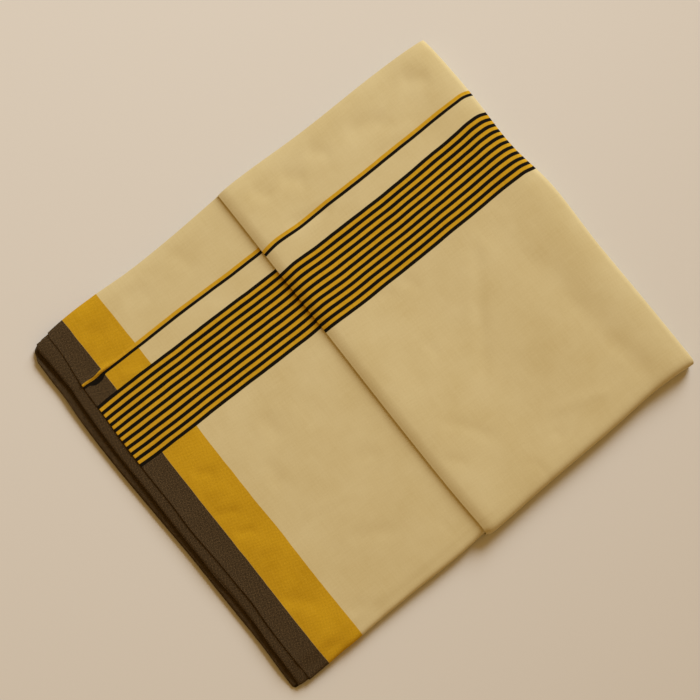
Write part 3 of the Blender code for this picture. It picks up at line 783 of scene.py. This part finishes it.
def outer_strip(columns, top, bottom, front, thickness, band, has_tail=False):
    """The outermost cloth, from its loose end on top round the front, underneath, and in at the back."""
    strip = Strip(cloth_level(top, bottom, thickness, has_tail), front)
    rows = [strip.flat(TOP, share, columns, end=LOOSE_END_ON_TOP) for share in reversed(ROWS)]
    turned = len(rows)
    rows += [strip.bend(TOP, LOWEST, turn, columns, True) for turn in BEND_TURNS]
    rows += [strip.flat(LOWEST, share, columns) for share in UNDER_ROWS]
    rows += [strip.bend(LOWEST, MIDDLE, turn, columns, False) for turn in SMALL_TURNS]
    rows += [strip.flat(MIDDLE, share, columns) for share in INSIDE_ROWS]
    grid = grid_of(rows)
    x, y = grid[..., 0], grid[..., 1]
    u = x - follow(GREY_EDGE, y)
    v = band_place(band, x, y)
    length = run_along(grid)
    v[:, turned:] = v[:, turned - 1 : turned] - (length[:, turned:] - length[:, turned - 1 : turned])
    return cloth_wall(grid, np.stack([u, v], axis=-1), thickness(x, y))


# The columns of points across the cloth, from the selvedge, from the flap's edge and from the right edge
PANEL_COLUMNS = np.concatenate([np.arange(0.3, 36, 0.9), np.arange(37, 126, 3.0)])
STEP_COLUMNS = np.concatenate([
    np.arange(-38, -12, 3.0), np.arange(-11, 9, 0.7), (11, 14, 18, 22, FLAP_UNDERLAP),
])
FLAP_COLUMNS = np.concatenate([
    np.arange(0.55, 9, 0.5), np.arange(9.5, 24, 1.2), np.arange(26, 148, 2.6),
])
RIGHT_COLUMNS = np.concatenate([
    np.arange(-52, -12, 1.6), np.arange(-11.5, -2, 0.8), np.arange(-1.8, -0.5, 0.4),
])
UNDERSIDE_INSET = 1.2  # how far in the flap's underside ends on the right


def panel_columns(panel, y):
    """The top panel runs from its selvedge to under the flap."""
    if panel == TOP:
        edge = follow(TOP_SELVEDGE, y) + corner(BACK + TOP_CORNER_PLACE - y, TOP_CORNER)
    else:
        edge = follow(BOTTOM_SELVEDGE, y)
    return np.concatenate([edge + PANEL_COLUMNS, follow(FLAP_EDGE, y) + STEP_COLUMNS])


def flap_columns(panel, y):
    """The flap runs from its left edge to the right edge of the stack."""
    right = follow(RIGHT_EDGE, y) + RIGHT_COLUMNS - (0.0 if panel == TOP else UNDERSIDE_INSET)
    return np.concatenate([follow(FLAP_EDGE, y) + FLAP_COLUMNS, right])


def panel_sheet(x, y):
    """The top panel's thickness, the same all over."""
    return PANEL_SHEET + 0 * x


def flap_sheet(x, y):
    """The flap's thickness, less at its left edge."""
    return FLAP_SHEET - thinned(x, y)


def flap_bend_start(x):
    """Where the flap's flat part ends and its front bend begins."""
    high = flap_top(x, FRONT) / 2
    return flap_front(x) + high + BEND_REACH


# The sides of the folded layers

# How far in from its bundle's edge each inside panel ends, from the uppermost down, and its slow wave
UPPER_INSETS = (0.0, 2.0, 1.5, 1.2, 0.9, 0.6, 0.3)
LOWER_INSETS = (0.0, 0.9, 0.7, 0.6, 0.5, 0.4, 0.5)
SIDE_WAVE = (0.2, 90)  # size and length, as in the next ones
# The upper bundle sinks towards its edge, and rolls down there, each layer less than the one above.
SINK, SINK_LENGTH, SINK_POWER = 1.3, 11.0, 1.3
ROLL, ROLL_LENGTH = 0.6, 1.6
UPPER_SHARES = (1.0, 0.85, 0.7, 0.55, 0.4, 0.2, 0.05)
UPPER_WAVE, LOWER_WAVE = (0.15, 110), (0.2, 90)
# So does the lower one, and beside the upper one it is pressed down into a hollow near the back.
LOWER_SINK, LOWER_SINK_LENGTH = 0.7, 5.0
HOLLOW, HOLLOW_START, HOLLOW_LENGTH, HOLLOW_PLACE, HOLLOW_REACH = 1.3, 1.0, 2.4, 150.0, 24.0
LOWER_ROLL, LOWER_ROLL_LENGTH = 0.9, 1.5
LOWER_SHARES = (1.0, 0.85, 0.7, 0.55, 0.4, 0.25, 0.1)
LAYERS = (-0.25, 0.25)  # the middles of a panel's two layers, as shares of its height
INNER_SHIFT, INNER_WAVE = 0.35, (0.25, 60)  # the lower layer's selvedge lies this far in
LAST_INSET = 1.5  # in the lowest panel they end inside the outermost cloth
RIBBON_COLUMNS = np.array([0.0, 0.12, 0.35, 0.7, 1.2, 1.8, 2.6, 3.6, 5.0, 8.0, 12.0, 17.0])
RIBBON_THICKNESS = 0.43  # of a panel's height, for one of its two layers
# The bends on the right lie inside the flap's, each by another distance.
NOSE_INSET, NOSE_SPREAD, NOSE_WAVE = 0.9, (0.5, 50), (0.35, 80)
# Where the random draws of these waves start. Where there are several, the panel's number is added.
UPPER_SEED, LOWER_SEED, INNER_SEED, SPREAD_SEED, NOSE_SEED = 30, 38, 40, 70, 20
NOSE_COLUMNS = np.array([-12.0, -8.0, -5.0, -3.0, -1.6, -0.7, 0.0])
PANEL_THICKNESS = 0.9  # of a panel's height, for both layers together
PLAIN_PLACE = -300.0  # a place on the cloth in front of the band
INSIDE_PLACE = 12.0  # the inside panels lie this much further from their own grey than the top one


def bundle_side(panel, y):
    """The selvedge's place in an inside panel, before the corner at the back is rounded."""
    edge = UPPER_BUNDLE_EDGE if panel < MIDDLE else LOWER_BUNDLE_EDGE
    inset = (*UPPER_INSETS, *LOWER_INSETS)[panel - 1]
    wave = ripple(panel, y, *SIDE_WAVE) if inset else 0
    return follow(edge, y) + inset + wave


def bundle_edge(panel, y):
    """The selvedge's place in an inside panel, with its rounded corner at the back."""
    radius = BACK_CORNER[BACK_GROUPS.get(panel, UPPER_FOLD if panel == 1 else LOWER_FOLD)]
    return bundle_side(panel, y) + corner(BACK + BACK_CORNER_PLACE - y, radius)


def rolled(inside, length):
    """From 1 at a rolled edge down to 0 that far inside it, as a quarter of an ellipse."""
    return 1 - np.sqrt(1 - (1 - np.clip(inside / length, 0, 1)) ** 2)


def settled(panel, x, y):
    """How far an inside panel's selvedge lies above its even place in the stack."""
    if panel < MIDDLE:
        inside = x - follow(UPPER_BUNDLE_EDGE, y)
        sunk = SINK * np.clip(1 - inside / SINK_LENGTH, 0, 1) ** SINK_POWER
        sunk = sunk + ROLL * rolled(inside, ROLL_LENGTH)
        return -UPPER_SHARES[panel - 1] * sunk * (1 + ripple(UPPER_SEED, y, *UPPER_WAVE))
    inside = x - follow(LOWER_BUNDLE_EDGE, y)
    sunk = LOWER_SINK * np.clip(1 - inside / LOWER_SINK_LENGTH, 0, 1) ** SINK_POWER
    near_corner = np.exp(-(((y - HOLLOW_PLACE) / HOLLOW_REACH) ** 2))
    sunk = sunk * (1 - near_corner) + HOLLOW * near_corner * smooth((inside - HOLLOW_START) / HOLLOW_LENGTH)
    roll = LOWER_ROLL * rolled(x - bundle_edge(panel, y), LOWER_ROLL_LENGTH) if panel == MIDDLE else 0
    return -LOWER_SHARES[panel - MIDDLE] * sunk * (1 + ripple(LOWER_SEED, y, *LOWER_WAVE)) - roll


def selvedge_parts():
    """Both selvedges of each inside panel, all the way along the folded strip."""
    parts = []
    for layer in LAYERS:
        def level(panel, x, y, layer=layer):
            if panel == LOWEST:
                return inside_level(LOWEST, x, y)
            return inside_level(panel + layer, x, y) + settled(panel, x, y)

        def columns(panel, y, layer=layer):
            if panel == LOWEST:
                return follow(BOTTOM_SELVEDGE, y) + LAST_INSET + RIBBON_COLUMNS
            shift = INNER_SHIFT + ripple(INNER_SEED + panel, y, *INNER_WAVE) if layer > 0 else 0
            return bundle_edge(panel, y) + shift + RIBBON_COLUMNS

        strip = Strip(level, bend_start, rounded=True)
        parts.append(inner_run(strip, columns, RIBBON_THICKNESS, GREY_WIDTH))
    return parts


def folded_edge_parts():
    """The rounded right-hand bends of the inside panels, all the way along the folded strip."""

    def columns(panel, y):
        inset = NOSE_INSET + ripple(SPREAD_SEED + panel, 0.0, *NOSE_SPREAD)
        return follow(RIGHT_EDGE, y) - inset - ripple(NOSE_SEED + panel, y, *NOSE_WAVE) + NOSE_COLUMNS

    strip = Strip(inside_level, bend_start)
    return [inner_run(strip, columns, PANEL_THICKNESS, None)]


# The panels in the order in which the strip runs through them, from its inside end
ORDER = (1, 14, 9, 6, 5, 10, 13, 2, 3, 12, 11, 4, 7, 8, 15)
LAST_ROWS = (1.0, 0.985, 0.97)


def inner_run(strip, columns, share_of_panel, grey):
    """A ribbon that follows the strip through every inside panel and bend."""
    rows = []
    for n, panel in enumerate(ORDER):
        to_front = n % 2 == 0
        shares = reversed(RIBBON_ROWS) if to_front else RIBBON_ROWS
        if panel == LOWEST:
            shares = LAST_ROWS
        for share in shares:
            rows.append(strip.flat(panel, share, columns, end=LOOSE_END_INSIDE if panel == 1 else None))
        if panel == LOWEST:
            break
        for turn in SMALL_TURNS:
            rows.append(strip.bend(panel, ORDER[n + 1], turn, columns, to_front))
    grid = grid_of(rows)
    x, y = grid[..., 0], grid[..., 1]
    u = x - follow(GREY_EDGE, y) if grey is None else x - x[:1] - grey
    v = PLAIN_PLACE - run_along(grid)
    return cloth_wall(grid, np.stack([u, v], axis=-1), share_of_panel * panel_room(x, y))


# The folds at the back start and end this far inside the selvedges and the right edge, out of sight.
HIDDEN_LEFT, HIDDEN_RIGHT = 14.0, 9.0
BACK_SHARES = np.unique(np.concatenate([np.linspace(0, 1, 90), np.linspace(0.42, 0.54, 16)]))
BACK_ROWS, LOOSE_END_ROWS = (0.94, 0.96, 0.98, 1.0), (0.94, 0.96, 0.98, 0.99, 1.0)
# The core, with its rounded rim, ends inside the layers that show.
CORE_LEFT, CORE_BACK, CORE_FRONT = 13.0, 9.0, 2.0
CORE_SHARES = np.linspace(0, 1, 70)


def back_columns(panel, y):
    """Columns across the whole width, closer where the stack steps up."""
    left = bundle_edge(panel, y) + HIDDEN_LEFT
    right = follow(RIGHT_EDGE, y) - HIDDEN_RIGHT
    return left + BACK_SHARES * (right - left)


def plain_part(rows):
    """A part of an inside panel, both of its layers together."""
    grid = grid_of(rows)
    x, y = grid[..., 0], grid[..., 1]
    place = np.stack([x - follow(GREY_EDGE, y) + INSIDE_PLACE, PLAIN_PLACE - run_along(grid)], axis=-1)
    return cloth_wall(grid, place, PANEL_THICKNESS * panel_room(x, y))


def back_fold_parts():
    """The folds that show at the back, across the whole width, and the inside panel's loose end."""
    parts = []
    strip = Strip(inside_level, bend_start)
    for first, last in (reversed(NEXT_FOLD), reversed(UPPER_FOLD)):
        rows = [strip.flat(first, s, back_columns) for s in BACK_ROWS]
        rows += [strip.bend(first, last, turn, back_columns, False) for turn in SMALL_TURNS]
        rows += [strip.flat(last, s, back_columns) for s in reversed(BACK_ROWS)]
        parts.append(plain_part(rows))
    rows = [strip.flat(1, s, back_columns, end=LOOSE_END_INSIDE) for s in LOOSE_END_ROWS]
    return [*parts, plain_part(rows)]


def core_part():
    """All that is hidden, as one rounded solid that the layered edges stand out from."""
    rows = []
    for s in CORE_SHARES:
        y = FRONT + s * (BACK - FRONT)
        left = follow(UPPER_BUNDLE_EDGE, y) + CORE_LEFT
        right = follow(RIGHT_EDGE, y) - HIDDEN_RIGHT
        x = left + CORE_SHARES * (right - left)
        start, stop = bend_start(x) - CORE_FRONT, follow(BACK_EDGE, x) - CORE_BACK
        rows.append((x, start + s * (stop - start), 0 * x))
    grid = grid_of(rows)
    x, y = grid[..., 0], grid[..., 1]
    low = inner_bottom(x, y) + creased(CREASES_BELOW, x, y)
    high = inner_top(x, y) + top_face(x, y)
    grid[..., 2] = (low + high) / 2
    place = np.stack([x - follow(GREY_EDGE, y) + INSIDE_PLACE, PLAIN_PLACE - y], axis=-1)
    return rounded_solid(grid, place, high - low - 2 * AIR)


# Pieces

cotton = handloom_cotton("plain_weave_handloom_cotton")

top_panel = make_piece("top_panel_cloth", [outer_strip(
    panel_columns, stack_top, stack_bottom, bend_start, panel_sheet, BAND_ON_PANEL, has_tail=True)], cotton)
flap = make_piece("flap_cloth", [outer_strip(
    flap_columns, flap_top, floor_level, flap_bend_start, flap_sheet, BAND_ON_FLAP)], cotton)
selvedges = make_piece("selvedge_layers", selvedge_parts(), cotton)
inner = make_piece("inner_layers", [core_part(), *folded_edge_parts(), *back_fold_parts()], cotton)

for piece in (top_panel, flap, selvedges, inner):
    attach(piece, "root")
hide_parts("top_panel")
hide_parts("folded_flap")
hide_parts("upper_selvedges", "lower_selvedges")
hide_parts("hidden_layers")


# The floor, the light and the camera

# Board with matt paint on it: an even, pale surface with no gloss
FLOOR_COLOUR = "#d3d0ca"
FLOOR_REACH, FLOOR_HEIGHT = 4.0, -0.0002  # in metres, just under the cloth, so that the two faces stay apart


def matt_painted_board():
    """The floor's finish."""
    paint = bpy.data.materials.new("matt_painted_board")
    paint.use_nodes = True
    shader = paint.node_tree.nodes["Principled BSDF"]
    shader.inputs["Base Color"].default_value = (*linear(FLOOR_COLOUR), 1)
    shader.inputs["Roughness"].default_value = 0.9
    shader.inputs["Specular IOR Level"].default_value = 0.2
    return paint


def studio_floor():
    """A plain, flat floor under everything."""
    mesh = bpy.data.meshes.new("studio_floor")
    sides = ((-1, -1), (1, -1), (1, 1), (-1, 1))
    corners = [(x * FLOOR_REACH, y * FLOOR_REACH, FLOOR_HEIGHT) for x, y in sides]
    mesh.from_pydata(corners, [], [(0, 1, 2, 3)])
    mesh.materials.append(matt_painted_board())
    floor = bpy.data.objects.new("studio_floor", mesh)
    bpy.context.scene.collection.objects.link(floor)


# The camera looks almost straight down, turned from the weave.
AIM = np.array([-2.45, 10.6, 0.0])
TURN = math.radians(37.5)
PICTURE_UP = np.array([math.sin(TURN), math.cos(TURN), 0.0])
PICTURE_RIGHT = np.array([PICTURE_UP[1], -PICTURE_UP[0], 0.0])
CAMERA_TILT, CAMERA_DISTANCE = math.radians(10), 1800.0
FOCAL_PIXELS, PICTURE_PIXELS, SENSOR = 2322.0, 700, 36.0
# The light has a honeycomb, so it is brightest where it points, on the far left of the cloth.
KEY_PLACE = PICTURE_UP * 2800 + PICTURE_RIGHT * 1150 + np.array([0, 0, 2000])
KEY_TARGET = PICTURE_UP * 300 + PICTURE_RIGHT * -365
KEY_SIZE, KEY_SPREAD = 2.0, math.radians(54)  # its size is in metres
KEY_WATTS, KEY_COLOUR = 21.4, "#f7fbff"
ROOM_COLOUR, ROOM_STRENGTH = "#ffcd7c", 0.42  # the warm light that comes back from all round


def look_at(thing, place, target, up):
    """Puts a camera or a light at a place and turns it towards the target."""
    back = unit(np.array(place, float) - target)
    right = unit(np.cross(up, back))
    turned = np.eye(4)
    turned[:3, :3] = np.column_stack([right, np.cross(back, right), back])
    turned[:3, 3] = np.array(place) * MM
    thing.matrix_world = Matrix(turned.tolist())


def make_camera():
    """The camera, almost straight above the cloth."""
    data = bpy.data.cameras.new("camera")
    data.sensor_width = SENSOR
    data.lens = FOCAL_PIXELS / PICTURE_PIXELS * SENSOR
    camera = bpy.data.objects.new("camera", data)
    bpy.context.scene.collection.objects.link(camera)
    back = -math.sin(CAMERA_TILT) * PICTURE_UP + math.cos(CAMERA_TILT) * np.array([0, 0, 1])
    look_at(camera, AIM + CAMERA_DISTANCE * back, AIM, PICTURE_UP)
    bpy.context.scene.camera = camera


def studio_light():
    """One large soft light from behind on the right, and faint light from all round."""
    data = bpy.data.lights.new("soft_light", "AREA")
    data.shape = "SQUARE"
    data.size = KEY_SIZE
    data.spread = KEY_SPREAD
    data.energy = KEY_WATTS
    data.color = linear(KEY_COLOUR)
    light = bpy.data.objects.new("soft_light", data)
    bpy.context.scene.collection.objects.link(light)
    look_at(light, KEY_PLACE, KEY_TARGET, np.array([0, 0, 1.0]))
    world = bpy.data.worlds.new("studio")
    world.use_nodes = True
    world.node_tree.nodes["Background"].inputs["Color"].default_value = (*linear(ROOM_COLOUR), 1)
    world.node_tree.nodes["Background"].inputs["Strength"].default_value = ROOM_STRENGTH
    bpy.context.scene.world = world
    bpy.context.scene.view_settings.view_transform = "Standard"


studio_floor()
make_camera()
studio_light()
